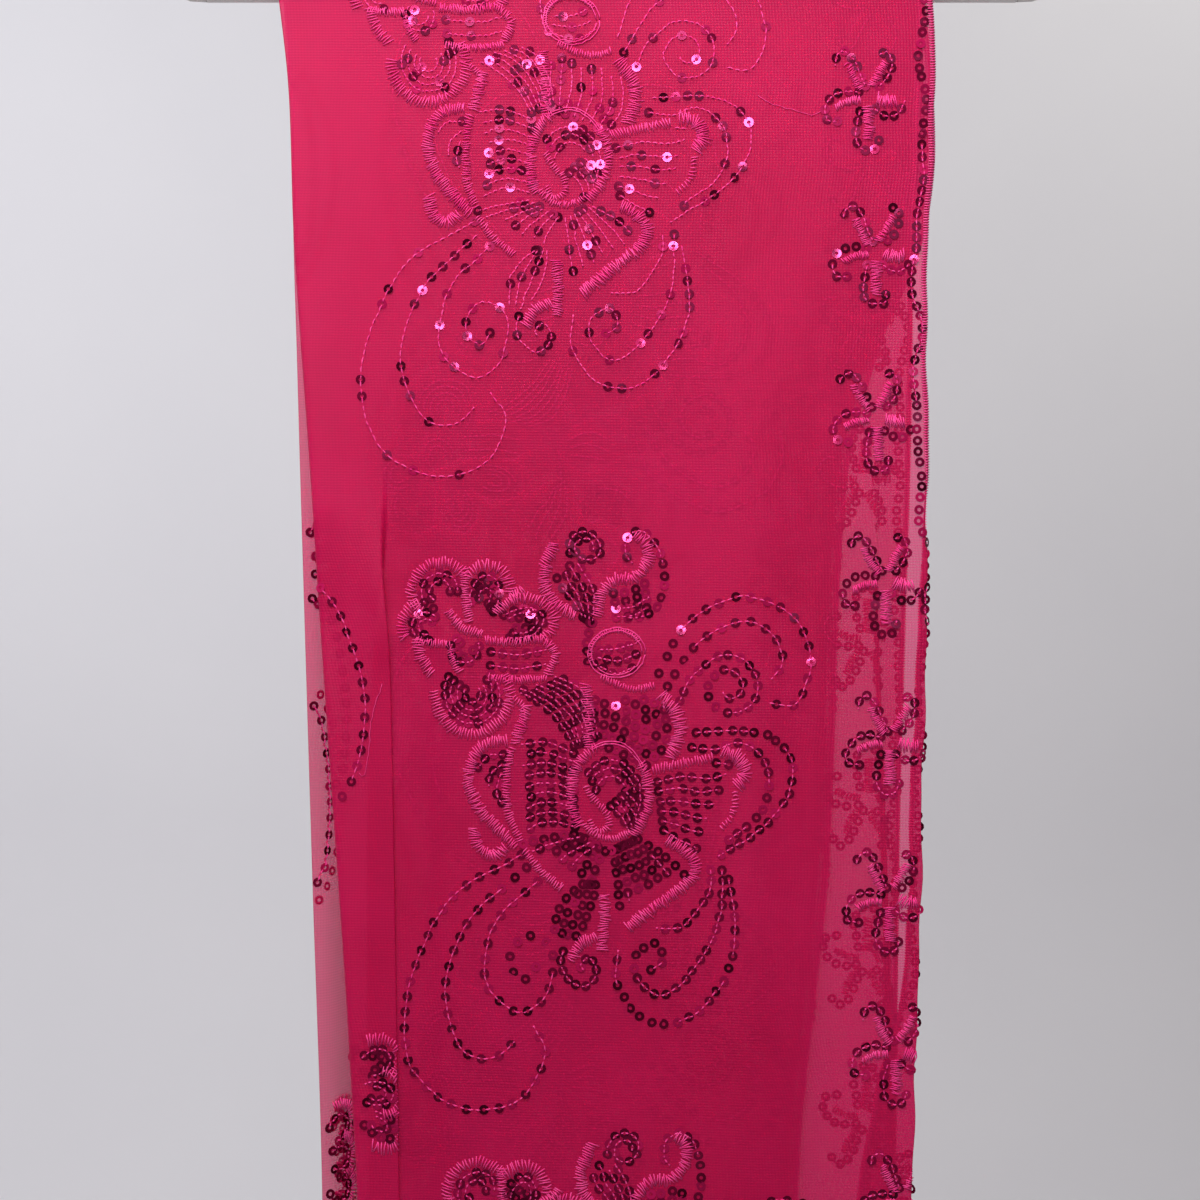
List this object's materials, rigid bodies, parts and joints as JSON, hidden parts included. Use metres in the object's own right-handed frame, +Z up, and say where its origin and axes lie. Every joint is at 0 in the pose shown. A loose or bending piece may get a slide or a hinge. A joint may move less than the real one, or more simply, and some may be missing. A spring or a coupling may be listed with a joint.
{
  "type": "shawl on a clothes hanger",
  "caption": "Sheer embroidered net shawl, folded in half along its length and hung over the bar of a plain plastic clothes hanger.",
  "frame": {"origin": "the point inside the top of the hanger's hook that a rail carries", "axes": "+Z up, +X to the right as seen from the front, front face towards -Y"},
  "size_m": [0.3938, 0.0408, 1.1015],
  "materials": {
    "net": "sheer fine polyester net",
    "hanger_plastic": "smooth moulded white plastic",
    "embroidery": "lustrous rayon thread",
    "sequin": "mirror-bright flat plastic ring"
  },
  "bodies": {
    "root": {"front_fall": "net", "bar_turn": "net", "back_fall": "net", "hanger_arms": "hanger_plastic", "hanger_bar": "hanger_plastic", "hanger_hook": "hanger_plastic"}
  },
  "joints": []
}
